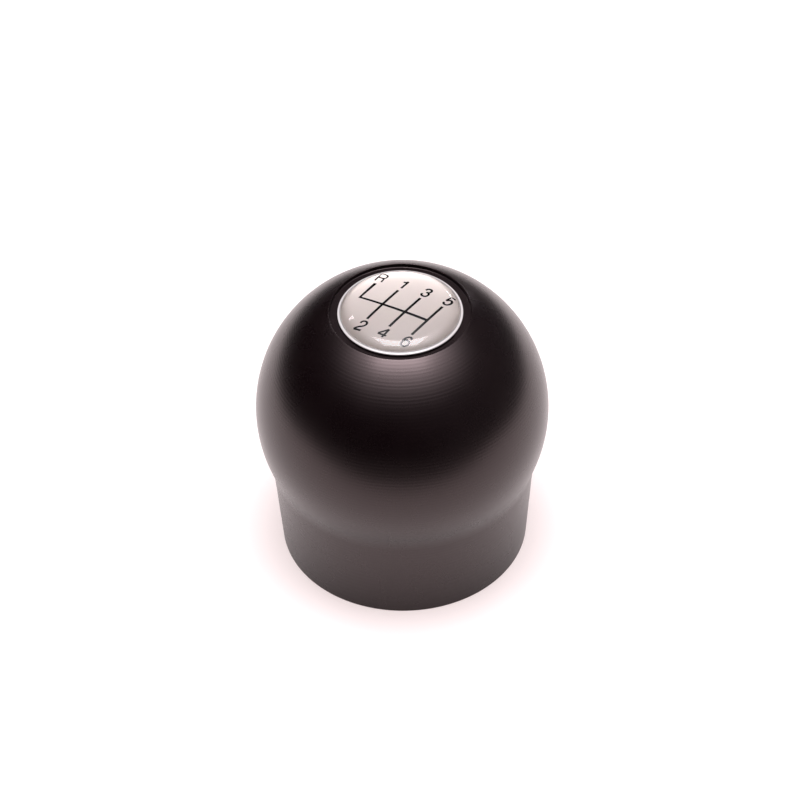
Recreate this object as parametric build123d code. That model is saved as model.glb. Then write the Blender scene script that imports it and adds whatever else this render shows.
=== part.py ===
from build123d import *
from math import cos, radians, sin, sqrt, tan
import os

# Gear shift knob: a ball on a tapered skirt, turned from one bar of black acetal.
# A brass insert in the hollow skirt takes the thread of the gear lever.
# A domed badge with the shift pattern lies in a pocket turned into the crown.
# Millimetres, +Z up along the lever, origin at the middle of the skirt's foot.
# +Y is the side of the badge where first, third and fifth gear are.

# Ball and skirt
BALL_DIAMETER = 50.0
BALL_OVERHANG = 2.3  # how far the ball stands out past the top of the skirt, on each side
SKIRT_HEIGHT = 17.85  # foot to the corner where the skirt runs into the ball
SKIRT_TAPER = 4.0  # degrees on each side, the skirt being narrower at its foot
NECK_BLEND_RADIUS = 11.0
FOOT_EDGE_CHAMFER = 0.15

# Socket inside the skirt, which goes down over the collar of the lever
SKIRT_WALL = 3.4  # at the foot
SOCKET_DEPTH = 19.0
SOCKET_CORNER_CHAMFER = 1.0
SOCKET_MOUTH_CHAMFER = 0.6

# Brass insert, pressed and bonded into the roof of the socket
INSERT_DIAMETER = 18.0
INSERT_LENGTH = 16.0
INSERT_FLANGE_DIAMETER = 23.0
INSERT_FLANGE_THICKNESS = 1.8
INSERT_EDGE_CHAMFER = 0.5
BOND_GAP = 0.05  # room for the adhesive all round the barrel and the flange
SPLINE_COUNT = 30
SPLINE_DEPTH = 0.6
SPLINE_ANGLE = 90.0  # degrees between the two sides of a groove
BOND_GROOVE_WIDTH = 2.4
BOND_GROOVE_DEPTH = 1.0
THREAD_BORE_DIAMETER = 10.8  # tapping size of the M12 x 1.25 lever thread
THREAD_LEAD_IN = 0.8

# Drilled relief above the insert, where the end of the lever runs out
RELIEF_DIAMETER = 12.4
RELIEF_DEPTH = 2.0
DRILL_POINT_ANGLE = 118.0

# Badge and its pocket
BADGE_DIAMETER = 20.95
POCKET_GAP = 1.375  # between the badge and the wall of the pocket
POCKET_DEPTH = 0.85
POCKET_EDGE_CHAMFER = 0.12
ADHESIVE_THICKNESS = 0.25
ADHESIVE_INSET = 0.4
FOIL_THICKNESS = 0.15
FOIL_RIM_WIDTH = 0.52
FOIL_RIM_HEIGHT = 0.28  # above the printed face, at the resin
FOIL_RIM_SLOPE = 21.0  # degrees from level, falling outwards
DOME_EDGE_ANGLE = 46.0  # degrees from level, where the resin leaves the rim
DOME_SHOULDER_RADIUS = 3.6
DOME_CROWN_ANGLE = 10.0  # degrees from level, where the shoulder runs into the crown

# Worked out from the sizes above
ball_radius = BALL_DIAMETER / 2
neck_radius = ball_radius - BALL_OVERHANG
skirt_slope = tan(radians(SKIRT_TAPER))
foot_radius = neck_radius - SKIRT_HEIGHT * skirt_slope
ball_height = SKIRT_HEIGHT + sqrt(ball_radius**2 - neck_radius**2)
socket_radius = foot_radius - SKIRT_WALL
badge_radius = BADGE_DIAMETER / 2
pocket_radius = badge_radius + POCKET_GAP
pocket_floor = ball_height + sqrt(ball_radius**2 - pocket_radius**2) - POCKET_DEPTH
adhesive_top = pocket_floor + ADHESIVE_THICKNESS
foil_top = adhesive_top + FOIL_THICKNESS
rim_top = foil_top + FOIL_RIM_HEIGHT
rim_edge = rim_top - FOIL_RIM_WIDTH * tan(radians(FOIL_RIM_SLOPE))
dome_radius = badge_radius - FOIL_RIM_WIDTH
insert_top = SOCKET_DEPTH + INSERT_LENGTH


def half_section(*points):
    """A closed outline of straight sides in the half plane right of the axis, as (radius, height)."""
    return make_face(Polyline(*points, close=True))


def step_in_section(radius, low, high):
    """A rectangle that stands on the axis, which turns into a disc or a bore."""
    return half_section((0, low), (radius, low), (radius, high), (0, high))


def corner(section, radius, height):
    """The vertex of a section nearest to a point."""
    return section.vertices().sort_by_distance((radius, height, 0))[0]


def turned(section):
    """A section spun once round the lever's axis."""
    return revolve(Plane.XZ * section, Axis.Z)


def outside_section():
    """The ball with its skirt: a round, a hollow blend and a straight taper."""
    ball = Pos(0, ball_height) * Circle(ball_radius)
    right_half = Pos(ball_radius, ball_height) * Rectangle(BALL_DIAMETER, BALL_DIAMETER)
    skirt_top_radius = foot_radius + ball_height * skirt_slope
    skirt = half_section((0, 0), (foot_radius, 0), (skirt_top_radius, ball_height), (0, ball_height))
    under_the_ball = skirt - step_in_section(BALL_DIAMETER, SKIRT_HEIGHT, ball_height)
    section = (ball & right_half) + under_the_ball
    section = fillet(corner(section, neck_radius, SKIRT_HEIGHT), NECK_BLEND_RADIUS)
    return chamfer(corner(section, foot_radius, 0), FOOT_EDGE_CHAMFER)


def socket_section():
    """The room inside the skirt, with a bevelled roof corner and a chamfered mouth."""
    socket = step_in_section(socket_radius, 0, SOCKET_DEPTH)
    socket = chamfer(corner(socket, socket_radius, SOCKET_DEPTH), SOCKET_CORNER_CHAMFER)
    mouth = half_section(
        (0, 0),
        (socket_radius + SOCKET_MOUTH_CHAMFER, 0),
        (socket_radius, SOCKET_MOUTH_CHAMFER),
        (0, SOCKET_MOUTH_CHAMFER),
    )
    return socket + mouth


def insert_seat_section():
    """The stepped bore for the insert, with the drilled relief above it."""
    flange_top = SOCKET_DEPTH + INSERT_FLANGE_THICKNESS
    flange_seat = step_in_section(INSERT_FLANGE_DIAMETER / 2 + BOND_GAP, SOCKET_DEPTH, flange_top)
    barrel_bore = step_in_section(INSERT_DIAMETER / 2 + BOND_GAP, SOCKET_DEPTH, insert_top)
    relief_radius = RELIEF_DIAMETER / 2
    relief_top = insert_top + RELIEF_DEPTH
    drill_tip = relief_top + relief_radius / tan(radians(DRILL_POINT_ANGLE / 2))
    relief = half_section(
        (0, SOCKET_DEPTH), (relief_radius, SOCKET_DEPTH), (relief_radius, relief_top), (0, drill_tip)
    )
    return flange_seat + barrel_bore + relief


def knob_body():
    """One turned piece: ball, skirt, socket, insert seat and badge pocket."""
    pocket = step_in_section(pocket_radius, pocket_floor, ball_height + BALL_DIAMETER)
    section = outside_section() - socket_section() - insert_seat_section() - pocket
    pocket_rim = corner(section, pocket_radius, pocket_floor + POCKET_DEPTH)
    return turned(chamfer(pocket_rim, POCKET_EDGE_CHAMFER))


def threaded_insert():
    """Flanged brass bush with a splined barrel, a groove for the bond and the lever's threaded bore."""
    barrel_radius = INSERT_DIAMETER / 2
    bore_radius = THREAD_BORE_DIAMETER / 2
    flange_radius = INSERT_FLANGE_DIAMETER / 2
    flange_top = SOCKET_DEPTH + INSERT_FLANGE_THICKNESS
    section = half_section(
        (bore_radius + THREAD_LEAD_IN, SOCKET_DEPTH),
        (flange_radius, SOCKET_DEPTH),
        (flange_radius, flange_top),
        (barrel_radius, flange_top),
        (barrel_radius, insert_top - INSERT_EDGE_CHAMFER),
        (barrel_radius - INSERT_EDGE_CHAMFER, insert_top),
        (bore_radius, insert_top),
        (bore_radius, SOCKET_DEPTH + THREAD_LEAD_IN),
    )
    groove_middle = (flange_top + insert_top) / 2
    groove = Pos(barrel_radius, groove_middle) * Rectangle(2 * BOND_GROOVE_DEPTH, BOND_GROOVE_WIDTH)
    bush = turned(section - groove)
    return bush - spline_grooves(barrel_radius, flange_top)


def spline_grooves(barrel_radius, low):
    """Straight V grooves down the barrel, which stop the insert from turning in the knob."""
    half_width = SPLINE_DEPTH * tan(radians(SPLINE_ANGLE / 2))
    # The V goes on past the barrel by its own depth, so that it cuts the surface cleanly.
    groove = make_face(
        Polyline(
            (barrel_radius - SPLINE_DEPTH, 0),
            (barrel_radius + SPLINE_DEPTH, 2 * half_width),
            (barrel_radius + SPLINE_DEPTH, -2 * half_width),
            close=True,
        )
    )
    cutter = Pos(0, 0, low) * extrude(groove, insert_top - low)
    return [turn * cutter for turn in PolarLocations(0, SPLINE_COUNT)]


def badge_adhesive():
    """Thin disc of double-sided film under the foil."""
    return turned(step_in_section(badge_radius - ADHESIVE_INSET, pocket_floor, adhesive_top))


def badge_foil():
    """Shallow silver tray that carries the printed shift pattern and holds the resin inside its sloped rim."""
    return turned(
        half_section(
            (0, adhesive_top),
            (badge_radius, adhesive_top),
            (badge_radius, rim_edge),
            (dome_radius, rim_top),
            (dome_radius, foil_top),
            (0, foil_top),
        )
    )


def badge_dome():
    """Clear resin that fills the tray and crowns over it: a round shoulder and a nearly flat crown."""
    edge_angle, crown_angle = radians(DOME_EDGE_ANGLE), radians(DOME_CROWN_ANGLE)
    edge = (dome_radius, rim_top)
    shoulder_end = (
        dome_radius - DOME_SHOULDER_RADIUS * (sin(edge_angle) - sin(crown_angle)),
        rim_top + DOME_SHOULDER_RADIUS * (cos(crown_angle) - cos(edge_angle)),
    )
    # The crown is level at the axis, and its arc meets the shoulder's at the crown angle.
    crown = (0, shoulder_end[1] + shoulder_end[0] * tan(crown_angle / 2))
    shoulder_arc = TangentArc(edge, shoulder_end, tangent=(-cos(edge_angle), sin(edge_angle)))
    crown_arc = TangentArc(shoulder_end, crown, tangent=(-cos(crown_angle), sin(crown_angle)))
    fill = Polyline(crown, (0, foil_top), (dome_radius, foil_top), edge)
    return turned(make_face(fill + shoulder_arc + crown_arc))


os.makedirs("parts", exist_ok=True)
for piece in (knob_body, threaded_insert, badge_adhesive, badge_foil, badge_dome):
    export_step(piece(), f"parts/{piece.__name__}.step")
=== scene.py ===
# Looks of a gear shift knob: turned black body, brass thread insert, domed badge with the gear pattern.
# Lengths are in millimetres until a mesh is finished, and angles are in degrees.
from math import atan2, cos, degrees, pi, radians, sin, sqrt, tan

import bmesh
import bpy
from mathutils import Matrix, Vector


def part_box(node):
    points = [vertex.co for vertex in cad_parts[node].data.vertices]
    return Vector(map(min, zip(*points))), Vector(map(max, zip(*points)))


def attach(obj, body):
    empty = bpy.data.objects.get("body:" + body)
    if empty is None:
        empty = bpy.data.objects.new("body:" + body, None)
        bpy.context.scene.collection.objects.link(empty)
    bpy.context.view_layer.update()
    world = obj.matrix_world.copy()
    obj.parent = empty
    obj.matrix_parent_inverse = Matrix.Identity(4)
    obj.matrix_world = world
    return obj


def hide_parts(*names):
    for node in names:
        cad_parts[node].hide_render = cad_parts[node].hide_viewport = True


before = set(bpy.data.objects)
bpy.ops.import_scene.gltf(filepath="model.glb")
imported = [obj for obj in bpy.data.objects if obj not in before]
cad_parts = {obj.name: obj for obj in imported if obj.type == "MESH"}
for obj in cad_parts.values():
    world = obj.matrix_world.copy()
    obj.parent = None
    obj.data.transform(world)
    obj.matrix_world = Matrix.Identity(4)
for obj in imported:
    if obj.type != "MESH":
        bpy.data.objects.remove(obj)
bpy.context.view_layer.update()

MM = 0.001

# Fineness of the meshes
BODY_STEPS = 224  # faces round the axis
BADGE_STEPS = 192
STEPS_PER_SPLINE = 6
STEPS_PER_THREAD_TURN = 60
BALL_STEPS = 110  # points along an outline
BLEND_STEPS = 16
CROWN_STEPS = 40
SHOULDER_STEPS = 30
MERGE_DISTANCE = 0.0005
THREAD_MERGE_DISTANCE = 0.002
CUT_TOLERANCE = 0.0001
SLACK = 0.01  # for telling heights and radii apart

# Sizes read from the frame
body_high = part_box("knob_body")[1] / MM
insert_low, insert_high = (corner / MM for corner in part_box("threaded_insert"))
adhesive_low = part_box("badge_adhesive")[0] / MM
tray_low, tray_high = (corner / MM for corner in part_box("badge_foil"))
dome_low, dome_high = (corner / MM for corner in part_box("badge_dome"))

ball_radius = body_high.x
badge_radius = tray_high.x
tray_bottom = tray_low.z
rim_top = tray_high.z
dome_radius = dome_high.x
foil_top = dome_low.z
pocket_floor = adhesive_low.z
flange_radius = insert_high.x
insert_bottom = insert_low.z
insert_top = insert_high.z

# Ball and skirt
BALL_OVERHANG = 2.3
SKIRT_HEIGHT = 17.85
SKIRT_TAPER = 4.0
NECK_BLEND_RADIUS = 11.0
FOOT_EDGE_RADIUS = 0.15
SKIRT_WALL = 3.4
SOCKET_CORNER_CHAMFER = 1.0
SOCKET_MOUTH_CHAMFER = 0.6
TURNED_EDGE_RADIUS = 0.12
EDGE_HOLD = 0.3  # share of its rounding that an edge takes up past each end

# Insert
INSERT_RADIUS = 9.0
FLANGE_THICKNESS = 1.8
INSERT_EDGE_CHAMFER = 0.5
BOND_GAP = 0.05
SPLINE_COUNT = 30
SPLINE_DEPTH = 0.6
BOND_GROOVE_WIDTH = 2.4
BOND_GROOVE_DEPTH = 1.0
THREAD_RADIUS = 6.0
THREAD_BORE_RADIUS = 5.4
THREAD_PITCH = 1.25
THREAD_LEAD_IN = 0.8
RELIEF_RADIUS = 6.2
RELIEF_DEPTH = 2.0
DRILL_POINT_ANGLE = 118.0

# Badge
POCKET_GAP = 1.375
POCKET_EDGE_RADIUS = 0.12
TRAY_RIM_SLOPE = 21.0
TRAY_EDGE_RADIUS = 0.08
# The rim's inner band, where the resin ends, is painted dark as painted shade.
PAINTED_RIM_SHADE_WIDTH = 0.19
DOME_EDGE_ANGLE = 46.0
DOME_SHOULDER_RADIUS = 3.6
DOME_CROWN_ANGLE = 10.0
DOME_SINK = 0.03  # how far the resin has wetted into the tray's lacquer

# Printed gear pattern, on the foil, with its origin where third and fourth gear cross the neutral line
PATTERN_PLACE = (1.10, -0.42)
PATTERN_LEAN = 0.162
GATE_SPACING = 4.12
REVERSE_GATE = -8.37
GATE_REACH = 4.14
NEUTRAL_WIDTH = 0.56
GATE_WIDTH = 0.46
NUMBER_WIDTH = 1.15
NUMBER_HEIGHT = 2.05
NUMBER_STROKE = 0.37
REVERSE_STROKE = 0.30
TOP_NUMBERS = 4.81
BOTTOM_NUMBERS = -6.80
LOWER_SHIFT = 0.16
INK_HEIGHT = 0.012

# Camera of the photograph
VIEW_AZIMUTH = 29.0
VIEW_ELEVATION = 43.62
VIEW_ROLL = -1.25
VIEW_DISTANCE = 556.0
VIEW_TARGET_HEIGHT = 29.756
VIEW_TARGET_SIDE = -0.36
VIEW_LENS = 146.655
SENSOR_WIDTH = 36.0

# Worked out from the sizes above
neck_radius = ball_radius - BALL_OVERHANG
skirt_slope = tan(radians(SKIRT_TAPER))
foot_radius = neck_radius - SKIRT_HEIGHT * skirt_slope
ball_height = SKIRT_HEIGHT + sqrt(ball_radius**2 - neck_radius**2)
socket_radius = foot_radius - SKIRT_WALL
pocket_radius = badge_radius + POCKET_GAP
flange_top = insert_bottom + FLANGE_THICKNESS


# Outlines of turned pieces, as points (radius, height) in the half plane right of the axis


def arc(centre, radius, start, end, steps):
    """Points along an arc, both ends included."""
    turns = [radians(start + (end - start) * step / steps) for step in range(steps + 1)]
    return [(centre[0] + radius * cos(turn), centre[1] + radius * sin(turn)) for turn in turns]


def rounded(corners, steps=5):
    """An outline whose corners are (radius, height), or (radius, height, rounding) to be rounded off."""
    places = [Vector(corner[:2]) for corner in corners]
    outline = []
    for index, corner in enumerate(corners):
        place = places[index]
        if len(corner) == 2:
            outline.append(place)
            continue
        to_last = (places[index - 1] - place).normalized()
        to_next = (places[index + 1] - place).normalized()
        half_angle = to_last.angle(to_next) / 2
        centre = place + (to_last + to_next).normalized() * corner[2] / sin(half_angle)
        reach = corner[2] / tan(half_angle)
        first = place + to_last * reach - centre
        last = place + to_next * reach - centre
        turn = atan2(first.x * last.y - first.y * last.x, first.dot(last))
        # A point just past each end of the round keeps the straight runs flat in their shading.
        hold = reach + EDGE_HOLD * corner[2]
        outline.append(place + to_last * hold)
        outline += [centre + Matrix.Rotation(turn * step / steps, 2) @ first for step in range(steps + 1)]
        outline.append(place + to_next * hold)
    return outline


def ball_and_neck():
    """The ball's arc from the pocket down, then the hollow blend that runs into the skirt."""
    taper = radians(SKIRT_TAPER)
    reach = ball_radius + NECK_BLEND_RADIUS
    # The blend touches the skirt's line and the ball from outside: its centre solves a quadratic in height.
    offset = foot_radius + NECK_BLEND_RADIUS / cos(taper)
    a = 1 + skirt_slope**2
    b = 2 * (offset * skirt_slope - ball_height)
    c = offset**2 + ball_height**2 - reach**2
    blend_height = (-b - sqrt(b * b - 4 * a * c)) / (2 * a)
    blend_radius = offset + blend_height * skirt_slope
    meeting = degrees(atan2(blend_height - ball_height, blend_radius))
    rim = degrees(atan2(sqrt(ball_radius**2 - pocket_radius**2), pocket_radius))
    ball = arc((0, ball_height), ball_radius, rim, meeting, BALL_STEPS)
    blend_centre = (blend_radius, blend_height)
    blend = arc(blend_centre, NECK_BLEND_RADIUS, 180 + meeting, 180 - SKIRT_TAPER, BLEND_STEPS)
    return ball, blend


def body_outline():
    """Pocket, ball, neck, skirt, socket and insert seat, from the pocket's middle to the drill point."""
    ball, blend = ball_and_neck()
    edge = TURNED_EDGE_RADIUS
    flange_seat = flange_radius + BOND_GAP
    barrel_seat = INSERT_RADIUS + BOND_GAP
    relief_top = insert_top + RELIEF_DEPTH
    drill_tip = relief_top + RELIEF_RADIUS / tan(radians(DRILL_POINT_ANGLE / 2))
    mouth_radius = socket_radius + SOCKET_MOUTH_CHAMFER
    return rounded([
        (0, pocket_floor), (pocket_radius, pocket_floor, edge),
        (*ball[0], POCKET_EDGE_RADIUS), *ball[1:], *blend[1:],
        (foot_radius, 0, FOOT_EDGE_RADIUS), (mouth_radius, 0, edge),
        (socket_radius, SOCKET_MOUTH_CHAMFER, edge),
        (socket_radius, insert_bottom - SOCKET_CORNER_CHAMFER, edge),
        (socket_radius - SOCKET_CORNER_CHAMFER, insert_bottom, edge), (flange_seat, insert_bottom, edge),
        (flange_seat, flange_top), (barrel_seat, flange_top), (barrel_seat, insert_top),
        (RELIEF_RADIUS, insert_top), (RELIEF_RADIUS, relief_top), (0, drill_tip),
    ])


def insert_outline():
    """Outside of the bush, from the mouth of its lead-in round to its top, without the threaded bore."""
    edge = TURNED_EDGE_RADIUS
    groove_middle = (flange_top + insert_top) / 2
    groove_low = groove_middle - BOND_GROOVE_WIDTH / 2
    groove_high = groove_middle + BOND_GROOVE_WIDTH / 2
    groove_radius = INSERT_RADIUS - BOND_GROOVE_DEPTH
    return rounded([
        (THREAD_BORE_RADIUS + THREAD_LEAD_IN, insert_bottom), (flange_radius, insert_bottom, edge),
        (flange_radius, flange_top, edge), (INSERT_RADIUS, flange_top),
        (INSERT_RADIUS, groove_low), (groove_radius, groove_low),
        (groove_radius, groove_high), (INSERT_RADIUS, groove_high),
        (INSERT_RADIUS, insert_top - INSERT_EDGE_CHAMFER),
        (INSERT_RADIUS - INSERT_EDGE_CHAMFER, insert_top), (RELIEF_RADIUS, insert_top),
    ])


def tray_outline():
    """Shallow tray: flat below, an outer wall, a rim that slopes outwards and the printed face."""
    edge = TRAY_EDGE_RADIUS
    rim_edge = rim_top - (badge_radius - dome_radius) * tan(radians(TRAY_RIM_SLOPE))
    return rounded([
        (0, tray_bottom), (badge_radius, tray_bottom, edge), (badge_radius, rim_edge, edge),
        (dome_radius, rim_top), (dome_radius, foil_top), (0, foil_top),
    ])


def dome_outline():
    """The resin as it set: it fills the tray to the rim, then a round shoulder and a nearly flat crown."""
    steep, flat = radians(DOME_EDGE_ANGLE), radians(DOME_CROWN_ANGLE)
    shoulder = DOME_SHOULDER_RADIUS
    shoulder_centre = (dome_radius - shoulder * sin(steep), rim_top - shoulder * cos(steep))
    meeting = (shoulder_centre[0] + shoulder * sin(flat), shoulder_centre[1] + shoulder * cos(flat))
    crown = meeting[0] / sin(flat)
    crown_centre = (0, meeting[1] - crown * cos(flat))
    crown_arc = arc(crown_centre, crown, 90, 90 - DOME_CROWN_ANGLE, CROWN_STEPS)
    shoulder_ends = (90 - DOME_CROWN_ANGLE, 90 - DOME_EDGE_ANGLE)
    shoulder_arc = arc(shoulder_centre, shoulder, *shoulder_ends, SHOULDER_STEPS)
    wall = dome_radius + DOME_SINK
    low = foil_top - DOME_SINK
    return [*crown_arc, *shoulder_arc[1:], (wall, rim_top - DOME_SINK), (wall, low), (0, low)]


# Meshes


def spun(outline, steps):
    """A closed turned mesh from an outline."""
    bm = bmesh.new()
    verts = [bm.verts.new((radius, 0, height)) for radius, height in outline]
    edges = [bm.edges.new(pair) for pair in zip(verts, verts[1:])]
    bmesh.ops.spin(
        bm, geom=verts + edges, cent=(0, 0, 0), axis=(0, 0, 1), angle=2 * pi, steps=steps, use_merge=True
    )
    bmesh.ops.remove_doubles(bm, verts=bm.verts, dist=MERGE_DISTANCE)
    return bm


def finished(bm, name, material, sharp_angle=40):
    """A named object in metres with smooth faces, apart from its sharp edges."""
    bmesh.ops.recalc_face_normals(bm, faces=bm.faces)
    bmesh.ops.scale(bm, vec=(MM, MM, MM), verts=bm.verts)
    mesh = bpy.data.meshes.new(name)
    bm.to_mesh(mesh)
    bm.free()
    mesh.shade_smooth()
    mesh.set_sharp_from_angle(angle=radians(sharp_angle))
    mesh.materials.append(material)
    piece = bpy.data.objects.new(name, mesh)
    bpy.context.scene.collection.objects.link(piece)
    return piece


def open_loop(bm, height):
    """The edges of the open end of a mesh that lies at this height."""
    return [
        edge
        for edge in bm.edges
        if edge.is_boundary and all(abs(vert.co.z - height) < SLACK for vert in edge.verts)
    ]


def turned_body():
    """Ball, skirt, socket, insert seat and badge pocket in one."""
    piece = finished(spun(body_outline(), BODY_STEPS), "turned_body", black_acetal())
    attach(piece, "root")
    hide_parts("knob_body")


def cut_splines(bm):
    """Straight V grooves down the barrel, deepest in the middle and half as deep beside it."""
    spline_angle = 2 * pi / SPLINE_COUNT
    half_groove = SPLINE_DEPTH / INSERT_RADIUS
    groove_radius = INSERT_RADIUS - BOND_GROOVE_DEPTH
    for vert in bm.verts:
        radius = Vector(vert.co.xy).length
        if vert.co.z < flange_top - SLACK or radius < groove_radius + SLACK:
            continue
        turn = atan2(vert.co.y, vert.co.x) % spline_angle
        off_middle = min(turn, spline_angle - turn)
        depth = SPLINE_DEPTH * max(0, 1 - off_middle / half_groove)
        vert.co.xy *= min(1, (INSERT_RADIUS - depth) / radius)


def add_thread(bm):
    """The lever's right-handed thread: one gap spun up the bore, trimmed and joined to both ends."""
    low = insert_bottom + THREAD_LEAD_IN
    turns = int((insert_top - low) / THREAD_PITCH) + 3
    crest, root = THREAD_PITCH / 4, THREAD_PITCH / 8
    start = low - THREAD_PITCH
    tooth_gap = [
        (THREAD_BORE_RADIUS, 0),
        (THREAD_BORE_RADIUS, crest),
        (THREAD_RADIUS, (THREAD_PITCH + crest - root) / 2),
        (THREAD_RADIUS, (THREAD_PITCH + crest + root) / 2),
        (THREAD_BORE_RADIUS, THREAD_PITCH),
    ]
    thread = bmesh.new()
    verts = [thread.verts.new((radius, 0, start + height)) for radius, height in tooth_gap]
    edges = [thread.edges.new(pair) for pair in zip(verts, verts[1:])]
    bmesh.ops.spin(
        thread, geom=verts + edges, cent=(0, 0, 0), axis=(0, 0, 1), angle=2 * pi * turns,
        steps=STEPS_PER_THREAD_TURN * turns, dvec=(0, 0, THREAD_PITCH / STEPS_PER_THREAD_TURN),
    )
    bmesh.ops.remove_doubles(thread, verts=thread.verts, dist=THREAD_MERGE_DISTANCE)
    for height, side in ((low, -1), (insert_top, 1)):
        whole = thread.verts[:] + thread.edges[:] + thread.faces[:]
        bmesh.ops.bisect_plane(
            thread, geom=whole, dist=CUT_TOLERANCE,
            plane_co=(0, 0, height), plane_no=(0, 0, side), clear_outer=True,
        )
    bmesh.ops.remove_doubles(thread, verts=thread.verts, dist=THREAD_MERGE_DISTANCE)
    mesh = bpy.data.meshes.new("thread")
    thread.to_mesh(mesh)
    thread.free()
    mouth = open_loop(bm, insert_bottom)
    top = open_loop(bm, insert_top)
    bm.from_mesh(mesh)
    bpy.data.meshes.remove(mesh)
    bmesh.ops.bridge_loops(bm, edges=mouth + open_loop(bm, low))
    inner_top = [edge for edge in open_loop(bm, insert_top) if edge not in top]
    bmesh.ops.bridge_loops(bm, edges=top + inner_top)


def brass_insert():
    """Flanged bush with a splined barrel, a bond groove and the lever's thread."""
    bm = spun(insert_outline(), STEPS_PER_SPLINE * SPLINE_COUNT)
    cut_splines(bm)
    add_thread(bm)
    piece = finished(bm, "brass_insert", machined_brass(), sharp_angle=30)
    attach(piece, "root")
    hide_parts("threaded_insert")


def silver_tray():
    """Tray of the badge, with its bare rim."""
    piece = finished(spun(tray_outline(), BADGE_STEPS), "silver_tray", satin_foil())
    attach(piece, "root")
    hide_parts("badge_foil")


def resin_dome():
    """Clear lens that fills the tray."""
    piece = finished(spun(dome_outline(), BADGE_STEPS), "resin_dome", clear_resin(), sharp_angle=60)
    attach(piece, "root")
    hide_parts("badge_dome")


# Pen strokes of the gear marks: x from -1 to 1 across a mark, y from 0 to 1 up it
STRAIGHT_STROKES = {
    "R": [[(-1.1, 0), (-1.1, 1), (0.3, 1)], [(-1.1, 0.5), (0.3, 0.5)]],
    "1": [[(0.12, 0), (0.12, 1)]],
    "2": [[(-1.25, 0), (1, 0)]],
    "4": [[(0.5, 0), (0.5, 1)], [(0.5, 1), (-1.4, 0.29)], [(-1.4, 0.27), (1.25, 0.27)]],
    "5": [[(0.8, 1), (-0.55, 1), (-0.78, 0.47)]],
}
CURVED_STROKES = {
    "R": [
        [(0.3, 1), (0.86, 0.94), (1.05, 0.75), (0.86, 0.56), (0.3, 0.5)],
        [(0.3, 0.5), (0.8, 0.4), (0.95, 0.1), (1.15, 0)],
    ],
    "1": [[(-1, 0.78), (-0.3, 0.83), (0.12, 1)]],
    "2": [
        [
            (-0.92, 0.68), (-0.62, 0.93), (0.02, 1), (0.72, 0.91),
            (0.92, 0.7), (0.6, 0.47), (-0.6, 0.23), (-1.25, 0),
        ]
    ],
    "3": [
        [(-0.88, 0.74), (-0.6, 0.94), (0, 1), (0.62, 0.93), (0.82, 0.75), (0.5, 0.57), (-0.2, 0.535)],
        [(-0.2, 0.535), (0.58, 0.5), (0.96, 0.28), (0.65, 0.06), (0, 0), (-0.68, 0.07), (-0.98, 0.28)],
    ],
    "5": [
        [
            (-0.78, 0.47), (0, 0.64), (0.68, 0.57), (0.96, 0.32),
            (0.65, 0.07), (0, 0), (-0.68, 0.07), (-0.96, 0.26),
        ]
    ],
    "6": [
        [
            (0.84, 0.8), (0.5, 0.97), (0.05, 1), (-0.62, 0.85), (-0.95, 0.42), (-0.68, 0.09), (0, 0),
            (0.7, 0.09), (0.96, 0.32), (0.7, 0.55), (0.05, 0.63), (-0.62, 0.53), (-0.92, 0.36),
        ]
    ],
}


def pen_curve(name, stroke_width):
    """An empty curve that draws with a round pen."""
    curve = bpy.data.curves.new(name, "CURVE")
    curve.dimensions = "3D"
    curve.bevel_depth = stroke_width / 2
    curve.bevel_resolution = 2
    curve.resolution_u = 6
    curve.use_fill_caps = True
    return curve


def draw_straight(curve, points):
    """A stroke of straight runs."""
    spline = curve.splines.new("POLY")
    spline.points.add(len(points) - 1)
    for point, (x, y) in zip(spline.points, points):
        point.co = (x, y, 0, 1)


def draw_curved(curve, points):
    """A stroke that runs smoothly through its points."""
    spline = curve.splines.new("BEZIER")
    spline.bezier_points.add(len(points) - 1)
    for point, (x, y) in zip(spline.bezier_points, points):
        point.co = (x, y, 0)
        point.handle_left_type = "AUTO"
        point.handle_right_type = "AUTO"


def draw_mark(curve, mark, across, height):
    """One letter or number that stands at this height of the pattern."""
    for strokes, draw in ((STRAIGHT_STROKES, draw_straight), (CURVED_STROKES, draw_curved)):
        for stroke in strokes.get(mark, []):
            draw(curve, [(across + x * NUMBER_WIDTH / 2, height + y * NUMBER_HEIGHT) for x, y in stroke])


def printed(curve, stroke_width, material):
    """The curve as a thin ink film on the foil, leaning as the whole pattern does."""
    pen = bpy.data.objects.new(curve.name, curve)
    bpy.context.scene.collection.objects.link(pen)
    bpy.context.view_layer.update()
    mesh = bpy.data.meshes.new_from_object(pen.evaluated_get(bpy.context.evaluated_depsgraph_get()))
    bpy.data.objects.remove(pen)
    bpy.data.curves.remove(curve)
    flatten = 2 * INK_HEIGHT / stroke_width
    lean = Matrix((
        (1, PATTERN_LEAN, 0, PATTERN_PLACE[0]), (0, 1, 0, PATTERN_PLACE[1]),
        (0, 0, flatten, foil_top), (0, 0, 0, 1),
    ))
    bm = bmesh.new()
    bm.from_mesh(mesh)
    name = mesh.name
    bpy.data.meshes.remove(mesh)
    bmesh.ops.transform(bm, matrix=lean, verts=bm.verts)
    bmesh.ops.remove_doubles(bm, verts=bm.verts, dist=MERGE_DISTANCE)
    piece = finished(bm, name, material)
    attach(piece, "root")


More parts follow.
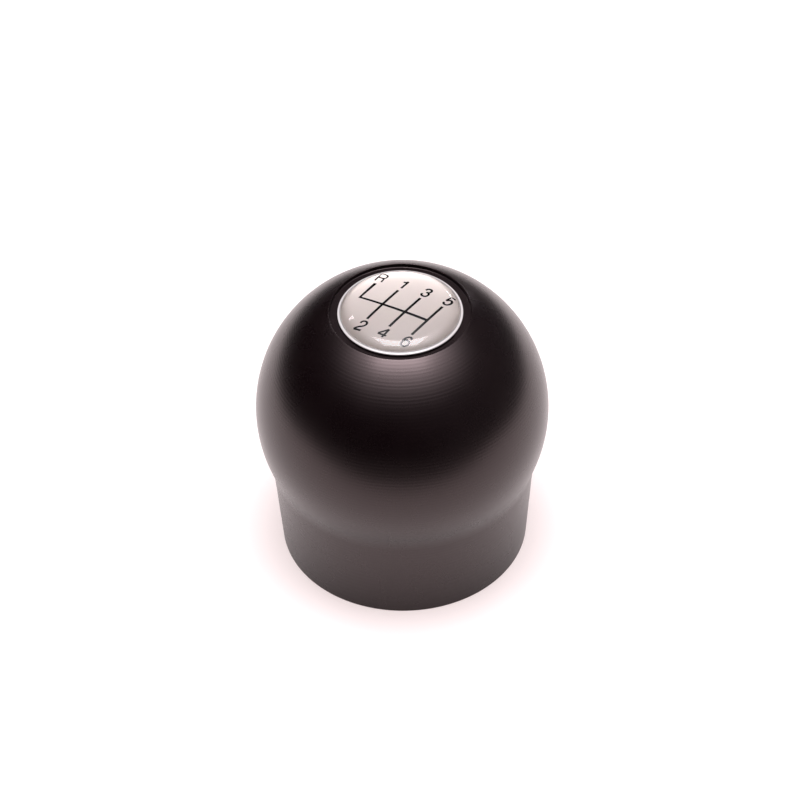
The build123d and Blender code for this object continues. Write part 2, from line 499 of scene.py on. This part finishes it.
def gear_pattern():
    """The gate lines, with reverse left of first gear, and the mark at the end of each line."""
    ink = printed_ink()
    columns = [GATE_SPACING * step for step in (-1, 0, 1)]
    neutral = pen_curve("neutral_line", NEUTRAL_WIDTH)
    draw_straight(neutral, [(REVERSE_GATE, GATE_REACH), (REVERSE_GATE, 0), (columns[-1], 0)])
    printed(neutral, NEUTRAL_WIDTH, ink)
    gates = pen_curve("gate_lines", GATE_WIDTH)
    for column in columns:
        draw_straight(gates, [(column, GATE_REACH), (column, -GATE_REACH)])
    printed(gates, GATE_WIDTH, ink)

    reverse = pen_curve("reverse_mark", REVERSE_STROKE)
    draw_mark(reverse, "R", REVERSE_GATE, TOP_NUMBERS)
    printed(reverse, REVERSE_STROKE, ink)
    numbers = pen_curve("gear_numbers", NUMBER_STROKE)
    for column, upper, lower in zip(columns, "135", "246"):
        draw_mark(numbers, upper, column, TOP_NUMBERS)
        draw_mark(numbers, lower, column + LOWER_SHIFT, BOTTOM_NUMBERS)
    printed(numbers, NUMBER_STROKE, ink)


# Materials

TOOL_FEED = 0.60  # along the ball, for each turn of the lathe
TOOL_MARK_DEPTH = 0.0013
TOOL_DRIFT = 0.8  # how often the marks change in depth, for each millimetre
BRASS_RING_WIDTH = 0.2
BRASS_RING_DEPTH = 0.004
FOIL_GRAIN_DEPTH = 0.004
RIM_EDGE_BLUR = 0.02
PAINTED_RIM_SHADE_BLUR = 0.03
RESIN_WAVE_DEPTH = 0.003


def new_finish(name):
    """An empty node material, its tree and its shader."""
    material = bpy.data.materials.new(name)
    material.use_nodes = True
    return material, material.node_tree, material.node_tree.nodes["Principled BSDF"]


def node(tree, kind, inputs=None, **settings):
    """A node with its settings made, and each input given a value or linked to a socket."""
    made = tree.nodes.new("ShaderNode" + kind)
    for name, value in settings.items():
        setattr(made, name, value)
    for name, value in (inputs or {}).items():
        if isinstance(value, bpy.types.NodeSocket):
            tree.links.new(value, made.inputs[name])
        else:
            made.inputs[name].default_value = value
    return made


def in_millimetres(tree):
    """The place of a point on the piece."""
    place = node(tree, "TexCoord").outputs["Object"]
    return node(tree, "VectorMath", {0: place, "Scale": 1 / MM}, operation="SCALE").outputs[0]


def axis_distance(tree, place):
    """How far a point lies from the axis."""
    flat = node(tree, "VectorMath", {0: place, 1: (1, 1, 0)}, operation="MULTIPLY").outputs[0]
    return node(tree, "VectorMath", {0: flat}, operation="LENGTH").outputs["Value"]


def tool_marks(tree, place):
    """Fine ridges round the axis, one for each turn of the lathe, as the tool goes down round the ball."""
    height = node(tree, "SeparateXYZ", {0: place}).outputs["Z"]
    over_centre = node(tree, "Math", {0: height, 1: ball_height}, operation="SUBTRACT").outputs[0]
    sides = {0: axis_distance(tree, place), 1: over_centre}
    angle = node(tree, "Math", sides, operation="ARCTAN2").outputs[0]
    travel = node(tree, "Math", {0: angle, 1: ball_radius}, operation="MULTIPLY").outputs[0]
    turns = node(tree, "Math", {0: travel, 1: 2 * pi / TOOL_FEED}, operation="MULTIPLY").outputs[0]
    ridges = node(tree, "Math", {0: turns}, operation="SINE").outputs[0]
    drift = node(tree, "TexNoise", {"W": travel, "Scale": TOOL_DRIFT, "Detail": 1.0}, noise_dimensions="1D")
    depth = spread(tree, drift.outputs["Fac"], 0.3, 0.7, 0.5, 1.5)
    return node(tree, "Math", {0: ridges, 1: depth}, operation="MULTIPLY").outputs[0]


def lathe_rings(tree, place, width):
    """A pattern that is the same all round the axis, as a cutting tool leaves it."""
    radius = axis_distance(tree, place)
    height = node(tree, "SeparateXYZ", {0: place}).outputs["Z"]
    section = node(tree, "CombineXYZ", {"X": radius, "Y": height}).outputs[0]
    rings = node(
        tree, "TexNoise", {"Vector": section, "Scale": 1 / width, "Detail": 2.0}, noise_dimensions="2D"
    )
    return rings.outputs["Fac"]


def spread(tree, factor, low, high, to_low, to_high):
    """A factor stretched from one range to another."""
    ranges = {"Value": factor, "From Min": low, "From Max": high, "To Min": to_low, "To Max": to_high}
    return node(tree, "MapRange", ranges).outputs["Result"]


def black_acetal():
    """Near-black satin plastic straight from the lathe."""
    material, tree, shader = new_finish("black_acetal")
    place = in_millimetres(tree)
    ridges = tool_marks(tree, place)
    cloud = node(tree, "TexNoise", {"Vector": place, "Scale": 0.16, "Detail": 3.0}).outputs["Fac"]
    blacks = {"Color1": (0.0020, 0.0007, 0.0010, 1), "Color2": (0.0034, 0.0014, 0.0018, 1)}
    tint = node(tree, "MixRGB", {"Fac": cloud, **blacks})
    tree.links.new(tint.outputs[0], shader.inputs["Base Color"])
    tree.links.new(spread(tree, cloud, 0.3, 0.7, 0.26, 0.29), shader.inputs["Roughness"])
    bump = node(tree, "Bump", {"Height": ridges, "Strength": 1.0, "Distance": TOOL_MARK_DEPTH * MM})
    tree.links.new(bump.outputs[0], shader.inputs["Normal"])
    shader.inputs["Specular IOR Level"].default_value = 0.57
    shader.inputs["Specular Tint"].default_value = (1.0, 0.80, 0.80, 1)
    return material


def machined_brass():
    """Yellow brass with fine tool marks."""
    material, tree, shader = new_finish("machined_brass")
    place = in_millimetres(tree)
    rings = lathe_rings(tree, place, BRASS_RING_WIDTH)
    tint = node(
        tree, "MixRGB", {"Fac": rings, "Color1": (0.58, 0.40, 0.16, 1), "Color2": (0.75, 0.57, 0.28, 1)}
    )
    tree.links.new(tint.outputs[0], shader.inputs["Base Color"])
    tree.links.new(spread(tree, rings, 0.3, 0.7, 0.22, 0.38), shader.inputs["Roughness"])
    bump = node(tree, "Bump", {"Height": rings, "Strength": 1.0, "Distance": BRASS_RING_DEPTH * MM})
    tree.links.new(bump.outputs[0], shader.inputs["Normal"])
    shader.inputs["Metallic"].default_value = 1
    return material


def adhesive_film():
    """Milky double-sided film with small air bubbles."""
    material, tree, shader = new_finish("adhesive_film")
    place = in_millimetres(tree)
    bubbles = node(tree, "TexVoronoi", {"Vector": place, "Scale": 1.6}).outputs["Distance"]
    tint = node(
        tree, "MixRGB", {"Fac": bubbles, "Color1": (0.78, 0.76, 0.70, 1), "Color2": (0.66, 0.64, 0.58, 1)}
    )
    tree.links.new(tint.outputs[0], shader.inputs["Base Color"])
    tree.links.new(spread(tree, bubbles, 0, 1, 0.5, 0.7), shader.inputs["Roughness"])
    return material


def satin_foil():
    """Silver foil with a fine even grain, and a lacquered rim whose band where the resin ends is a dull
    line of painted shade.
    """
    material, tree, shader = new_finish("satin_foil")
    place = in_millimetres(tree)
    grain = node(tree, "TexNoise", {"Vector": place, "Scale": 9.0, "Detail": 4.0}).outputs["Fac"]
    radius = axis_distance(tree, place)
    painted_shade_end = dome_radius + PAINTED_RIM_SHADE_WIDTH
    on_rim = spread(tree, radius, dome_radius - RIM_EDGE_BLUR, dome_radius + RIM_EDGE_BLUR, 0, 1)
    past_painted_shade = spread(tree, radius, painted_shade_end - PAINTED_RIM_SHADE_BLUR, painted_shade_end + PAINTED_RIM_SHADE_BLUR, 0, 1)
    foil = node(
        tree, "MixRGB", {"Fac": grain, "Color1": (0.62, 0.57, 0.53, 1), "Color2": (0.69, 0.63, 0.59, 1)}
    ).outputs[0]
    # Dark grey painted shade on the rim's inner band, then the lacquer's own grey past it.
    painted_shade_and_lacquer_greys = {"Color1": (0.18, 0.17, 0.165, 1), "Color2": (0.45, 0.43, 0.42, 1)}
    rim = node(tree, "MixRGB", {"Fac": past_painted_shade, **painted_shade_and_lacquer_greys}).outputs[0]
    tint = node(tree, "MixRGB", {"Fac": on_rim, "Color1": foil, "Color2": rim})
    tree.links.new(tint.outputs[0], shader.inputs["Base Color"])
    foil_roughness = spread(tree, grain, 0.3, 0.7, 0.42, 0.54)
    rim_roughness = spread(tree, past_painted_shade, 0, 1, 0.6, 0.3)
    roughness = node(tree, "Mix", {"Factor": on_rim, "A": foil_roughness, "B": rim_roughness})
    tree.links.new(roughness.outputs["Result"], shader.inputs["Roughness"])
    tree.links.new(spread(tree, on_rim, 0, 1, 1, 0), shader.inputs["Metallic"])
    bump = node(tree, "Bump", {"Height": grain, "Strength": 1.0, "Distance": FOIL_GRAIN_DEPTH * MM})
    tree.links.new(bump.outputs[0], shader.inputs["Normal"])
    return material


def printed_ink():
    """Black screen-printing ink."""
    material, tree, shader = new_finish("printed_ink")
    place = in_millimetres(tree)
    cover = node(tree, "TexNoise", {"Vector": place, "Scale": 6.0, "Detail": 2.0}).outputs["Fac"]
    blacks = {"Color1": (0.002, 0.002, 0.002, 1), "Color2": (0.008, 0.007, 0.007, 1)}
    tint = node(tree, "MixRGB", {"Fac": cover, **blacks})
    tree.links.new(tint.outputs[0], shader.inputs["Base Color"])
    tree.links.new(spread(tree, cover, 0.3, 0.7, 0.5, 0.65), shader.inputs["Roughness"])
    shader.inputs["Specular IOR Level"].default_value = 0.05
    return material


def clear_resin():
    """Water-clear cast resin with a barely wavy skin."""
    material, tree, shader = new_finish("clear_resin")
    place = in_millimetres(tree)
    waves = node(tree, "TexNoise", {"Vector": place, "Scale": 0.5, "Detail": 1.0}).outputs["Fac"]
    tree.links.new(spread(tree, waves, 0.3, 0.7, 0.0, 0.03), shader.inputs["Roughness"])
    bump = node(tree, "Bump", {"Height": waves, "Strength": 1.0, "Distance": RESIN_WAVE_DEPTH * MM})
    tree.links.new(bump.outputs[0], shader.inputs["Normal"])
    shader.inputs["Base Color"].default_value = (0.99, 0.985, 0.98, 1)
    shader.inputs["Transmission Weight"].default_value = 1
    shader.inputs["IOR"].default_value = 1.5
    return material


# Floor, light and camera

FLOOR_SIZE = 4000.0
FLOOR_DROP = 0.02  # below the foot, so that the two faces don't share a plane
FLOOR_COLOUR = (0.50, 0.48, 0.47, 1)
FLOOR_WHITE = (0.46, 0.385, 0.375, 1)
FLOOR_FAR = 0.10  # what is left of both colours, far out of the painted pool of light
POOL_BEHIND = 45.0  # from the knob to the middle of the painted pool of light on the floor
POOL_HALF_WIDTH = 220.0
POOL_HALF_DEPTH = 150.0
POOL_EDGE_POWER = 8.0
CONTACT_SHADE = 0.47  # painted shade: share of the floor's white that the skirt mirrors right at its foot
CONTACT_REACH = 11.5  # from the foot to where it mirrors all of it
LIGHT_TINT = (1.03, 0.985, 1.03)
SOFTBOX_LIGHT = 7.0
SOFTBOX_EDGE = 0.03
GLOW_LIGHT = 5.8  # in the middle of the haze round the box
# Places of the lights and their half sizes, to the right and behind, at unit height above the knob
SOFTBOX_RIGHT = (-0.01, 0.34)
SOFTBOX_BEHIND = (0.02, 0.29)
GLOW_RIGHT = (0.06, 0.43)
GLOW_BEHIND = (-0.02, 0.36)
TUBE_LIGHT = 9.0
TUBE_RIGHT = (-0.72, 0.30)
TUBE_BEHIND = (0.945, 0.045)
SPOT_LIGHT = 22.0
SPOT_RIGHT = (1.53, 0.14)
SPOT_BEHIND = (3.4, 0.28)
ROOM_LIGHT = 0.003
WALL_LIGHT = 0.10  # far to the right
WALL_SPAN = (0.2, 0.8)  # how far right a ray points where that light begins, and where it is full
LEAST_RISE = 0.001  # of a ray, which keeps the places at unit height finite


def any_of(tree, names):
    """One where the light path is any of these rays, else zero."""
    rays = node(tree, "LightPath").outputs
    total = rays[names[0]]
    for name in names[1:]:
        total = node(tree, "Math", {0: total, 1: rays[name]}, operation="MAXIMUM").outputs[0]
    return total


def painted_light_pool(tree, place, right, forward):
    """One in the painted pool of light on the floor, falling off past its edge."""
    middle = POOL_BEHIND * forward
    from_middle = node(tree, "VectorMath", {0: place, 1: middle}, operation="SUBTRACT").outputs[0]
    below = 1.0
    for direction, half in ((right, POOL_HALF_WIDTH), (forward, POOL_HALF_DEPTH)):
        along = {0: from_middle, 1: direction / half}
        off_middle = node(tree, "VectorMath", along, operation="DOT_PRODUCT").outputs["Value"]
        distance = node(tree, "Math", {0: off_middle}, operation="ABSOLUTE").outputs[0]
        past_edge = node(tree, "Math", {0: distance, 1: POOL_EDGE_POWER}, operation="POWER").outputs[0]
        below = node(tree, "Math", {0: past_edge, 1: below}, operation="ADD").outputs[0]
    share = node(tree, "Math", {0: 1.0, 1: below}, operation="DIVIDE").outputs[0]
    return spread(tree, share, 0, 1, FLOOR_FAR, 1)


def white_floor(right, forward):
    """White paper that keeps the knob's shadow, with a pool of light and a shade by the foot painted into
    its colour and glow.
    """
    material, tree, shader = new_finish("white_paper")
    place = in_millimetres(tree)
    fibre = node(tree, "TexNoise", {"Vector": place, "Scale": 0.02, "Detail": 2.0}).outputs["Fac"]
    # The pool of light is painted into the paper's colour and its glow.
    pool = painted_light_pool(tree, place, right, forward)
    paper = node(tree, "MixRGB", {"Fac": pool, "Color1": (0, 0, 0, 1), "Color2": FLOOR_COLOUR})
    tree.links.new(paper.outputs[0], shader.inputs["Base Color"])
    shader.inputs["Specular IOR Level"].default_value = 0
    tree.links.new(spread(tree, fibre, 0, 1, 0.9, 1), shader.inputs["Roughness"])
    # Painted shade by the foot: mirrored rays see the floor's white dimmed there, the camera sees it whole.
    out_of_shade = foot_radius + CONTACT_REACH
    painted_contact_shade = spread(tree, axis_distance(tree, place), foot_radius, out_of_shade, CONTACT_SHADE, 1)
    mirrored = any_of(tree, ("Is Glossy Ray", "Is Transmission Ray"))
    mirrored_with_painted_shade = node(tree, "Math", {0: mirrored, 1: painted_contact_shade}, operation="MULTIPLY").outputs[0]
    direct = any_of(tree, ("Is Camera Ray",))
    seen = node(tree, "Math", {0: direct, 1: mirrored_with_painted_shade}, operation="MAXIMUM").outputs[0]
    lit = node(tree, "Math", {0: seen, 1: pool}, operation="MULTIPLY").outputs[0]
    shader.inputs["Emission Color"].default_value = FLOOR_WHITE
    tree.links.new(lit, shader.inputs["Emission Strength"])
    bm = bmesh.new()
    bmesh.ops.create_grid(bm, x_segments=1, y_segments=1, size=FLOOR_SIZE / 2)
    bmesh.ops.translate(bm, verts=bm.verts, vec=(0, 0, -FLOOR_DROP))
    floor = finished(bm, "floor", material)


def panel(tree, value, middle, half):
    """One across a panel of light, falling to zero past its edges."""
    off_middle = node(tree, "Math", {0: value, 1: middle}, operation="SUBTRACT").outputs[0]
    distance = node(tree, "Math", {0: off_middle}, operation="ABSOLUTE").outputs[0]
    return spread(tree, distance, half + SOFTBOX_EDGE, half - SOFTBOX_EDGE, 0, 1)


def bell(tree, value, middle, width):
    """One in the middle of a glow, falling along a bell curve."""
    off_middle = node(tree, "Math", {0: value, 1: middle}, operation="SUBTRACT").outputs[0]
    scaled = node(tree, "Math", {0: off_middle, 1: width * sqrt(2)}, operation="DIVIDE").outputs[0]
    square = node(tree, "Math", {0: scaled, 1: scaled}, operation="MULTIPLY").outputs[0]
    fall = node(tree, "Math", {0: square, 1: -1.0}, operation="MULTIPLY").outputs[0]
    return node(tree, "Math", {0: fall}, operation="EXPONENT").outputs[0]


def overhead_softbox(right, forward):
    """A dark room with a wide soft light above the knob, a glow round it and two small lamps behind."""
    world = bpy.data.worlds.new("studio")
    world.use_nodes = True
    bpy.context.scene.world = world
    tree = world.node_tree
    ray = node(tree, "TexCoord").outputs["Generated"]
    height = node(tree, "SeparateXYZ", {0: ray}).outputs["Z"]
    above = node(tree, "Math", {0: height, 1: LEAST_RISE}, operation="MAXIMUM").outputs[0]
    to_right = node(tree, "VectorMath", {0: ray, 1: right}, operation="DOT_PRODUCT").outputs["Value"]
    to_behind = node(tree, "VectorMath", {0: ray, 1: forward}, operation="DOT_PRODUCT").outputs["Value"]
    right_at_unit = node(tree, "Math", {0: to_right, 1: above}, operation="DIVIDE").outputs[0]
    behind_at_unit = node(tree, "Math", {0: to_behind, 1: above}, operation="DIVIDE").outputs[0]
    strength = spread(tree, to_right, *WALL_SPAN, ROOM_LIGHT, WALL_LIGHT)
    for shape, light, along_right, along_behind in (
        (panel, SOFTBOX_LIGHT, SOFTBOX_RIGHT, SOFTBOX_BEHIND), (bell, GLOW_LIGHT, GLOW_RIGHT, GLOW_BEHIND),
        (panel, TUBE_LIGHT, TUBE_RIGHT, TUBE_BEHIND), (bell, SPOT_LIGHT, SPOT_RIGHT, SPOT_BEHIND),
    ):
        one_way = shape(tree, right_at_unit, *along_right)
        other_way = shape(tree, behind_at_unit, *along_behind)
        both = node(tree, "Math", {0: one_way, 1: other_way}, operation="MULTIPLY").outputs[0]
        strength = node(tree, "Math", {0: both, 1: light, 2: strength}, operation="MULTIPLY_ADD").outputs[0]
    background = tree.nodes["Background"]
    background.inputs["Color"].default_value = (*LIGHT_TINT, 1)
    tree.links.new(strength, background.inputs["Strength"])


def photo_camera(right, back):
    """The photograph's view: aimed at the axis of the knob and rolled a little."""
    up = back.cross(right)
    roll = radians(VIEW_ROLL)
    rolled_right = cos(roll) * right + sin(roll) * up
    rolled_up = cos(roll) * up - sin(roll) * right
    target = VIEW_TARGET_SIDE * right + Vector((0, 0, VIEW_TARGET_HEIGHT))
    lens = bpy.data.cameras.new("photo_camera")
    lens.sensor_width = SENSOR_WIDTH
    lens.lens = VIEW_LENS
    camera = bpy.data.objects.new("photo_camera", lens)
    turned = Matrix((rolled_right, rolled_up, back)).transposed().to_4x4()
    camera.matrix_world = Matrix.Translation((target + back * VIEW_DISTANCE) * MM) @ turned
    bpy.context.scene.collection.objects.link(camera)
    bpy.context.scene.camera = camera


def repaint(cad_node, material):
    """A solid that keeps its own mesh gets a better finish."""
    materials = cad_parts[cad_node].data.materials
    materials.clear()
    materials.append(material)


turned_body()
brass_insert()
silver_tray()
resin_dome()
gear_pattern()
repaint("badge_adhesive", adhesive_film())

azimuth, elevation = radians(VIEW_AZIMUTH), radians(VIEW_ELEVATION)
view_right = Vector((cos(azimuth), sin(azimuth), 0))
view_forward = Vector((-sin(azimuth), cos(azimuth), 0))
view_back = cos(elevation) * -view_forward + sin(elevation) * Vector((0, 0, 1))
white_floor(view_right, view_forward)
overhead_softbox(view_right, view_forward)
photo_camera(view_right, view_back)
bpy.context.scene.view_settings.view_transform = "Standard"
